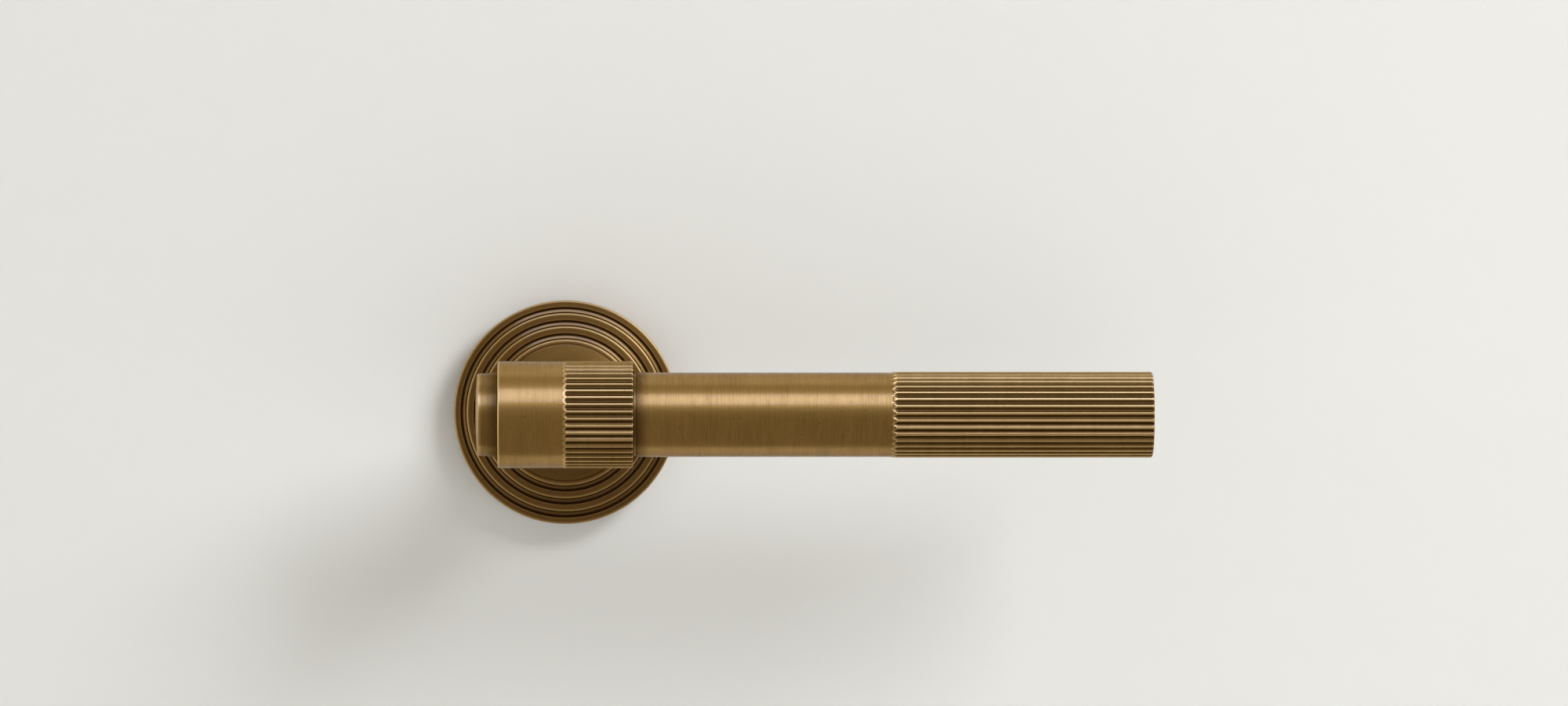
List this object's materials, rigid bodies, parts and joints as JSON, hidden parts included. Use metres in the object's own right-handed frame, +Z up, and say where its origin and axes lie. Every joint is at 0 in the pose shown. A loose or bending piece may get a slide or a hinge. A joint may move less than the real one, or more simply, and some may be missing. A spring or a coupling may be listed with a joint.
{
  "type": "door lever handle",
  "caption": "Round-bar door lever on a stepped round rose, with a fluted collar and a fluted grip, sprung to return level, with its square spindle and fixings.",
  "frame": {"origin": "on the spindle's axis, in the plane of the door's face that the rose sits on", "axes": "+X along the lever from the spindle to its tip, +Y into the door, +Z up"},
  "size_m": [0.1598, 0.0942, 0.052],
  "materials": {
    "antique_brass": "aged brass, brushed round each turned part, lacquered",
    "die_cast_zinc": "matt, as cast",
    "nylon": "natural, satin",
    "plated_steel": "bright zinc plate",
    "steel": "satin, drawn or blanked",
    "spring_steel": "oil-blackened"
  },
  "bodies": {
    "rose": {"rose_cover": "antique_brass", "mounting_base": "die_cast_zinc", "neck_bush": "nylon", "return_spring": "spring_steel", "spring_plate": "plated_steel", "stop_pin_rest": "steel", "stop_pin_open": "steel", "through_bolt_upper": "plated_steel", "through_bolt_lower": "plated_steel", "wood_screw_left": "plated_steel", "wood_screw_right": "plated_steel"},
    "lever": {"neck": "antique_brass", "neck_washer": "nylon", "drive_plate": "steel", "rear_washer": "steel", "circlip": "spring_steel", "spindle": "steel", "spindle_grub_screw": "steel", "neck_stud": "steel", "locating_pin": "steel", "collar": "antique_brass", "end_cap": "antique_brass", "spacer_ring": "antique_brass", "grip_bar": "antique_brass", "draw_stud": "steel"}
  },
  "joints": [
    {"name": "lever_turn", "type": "hinge", "parent": "rose", "child": "lever", "pos_m": [0, 0, 0], "axis": [0, 1, 0], "range_deg": [0, 50], "stiffness_Nm_per_rad": 0.8, "springref_deg": -57.3, "deforming": ["return_spring"]}
  ]
}
